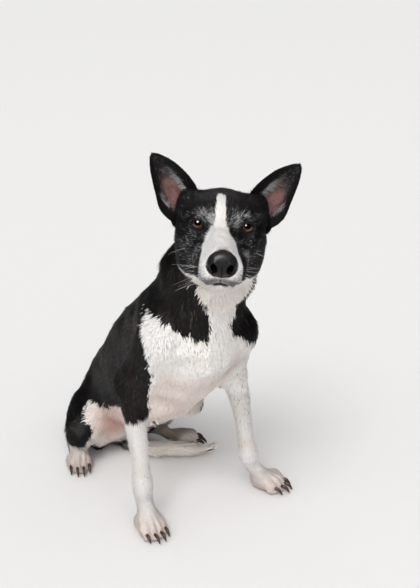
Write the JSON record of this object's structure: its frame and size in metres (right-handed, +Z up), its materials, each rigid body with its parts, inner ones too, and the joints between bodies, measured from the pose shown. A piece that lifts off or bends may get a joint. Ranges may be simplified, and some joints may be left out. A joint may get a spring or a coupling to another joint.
{
  "type": "dog",
  "caption": "Life-size still model of a sitting short-coated black and white dog with upright ears, head turned to its right, resting on its paws and haunches.",
  "frame": {"origin": "middle of the model's box in plan, on the floor under the soles", "axes": "+Z up, the dog's chest faces -Y, its left side is +X"},
  "size_m": [0.3126, 0.6156, 0.63],
  "materials": {
    "black_coat": "short glossy fur",
    "white_coat": "short fur",
    "eyes": "wet and clear",
    "nose_leather": "moist, pebbled",
    "claws": "horn, satin"
  },
  "bodies": {
    "root": {"head": "black_coat", "neck": "black_coat", "trunk": "black_coat", "tail_base": "black_coat", "tail_middle": "black_coat", "tail_tip": "white_coat", "upper_arm_right": "black_coat", "forearm_right": "white_coat", "forepaw_right": "white_coat", "thigh_right": "black_coat", "shank_right": "black_coat", "hindpaw_right": "white_coat", "ear_right": "black_coat", "eye_right": "eyes", "upper_arm_left": "white_coat", "forearm_left": "white_coat", "forepaw_left": "white_coat", "thigh_left": "white_coat", "shank_left": "white_coat", "hindpaw_left": "white_coat", "ear_left": "black_coat", "eye_left": "eyes", "nose": "nose_leather", "claw_forepaw_right_1": "claws", "claw_forepaw_right_2": "claws", "claw_forepaw_right_3": "claws", "claw_forepaw_right_4": "claws", "claw_forepaw_left_1": "claws", "claw_forepaw_left_2": "claws", "claw_forepaw_left_3": "claws", "claw_forepaw_left_4": "claws", "claw_hindpaw_right_1": "claws", "claw_hindpaw_right_2": "claws", "claw_hindpaw_right_3": "claws", "claw_hindpaw_right_4": "claws", "claw_hindpaw_left_1": "claws", "claw_hindpaw_left_2": "claws", "claw_hindpaw_left_3": "claws", "claw_hindpaw_left_4": "claws"}
  },
  "joints": []
}
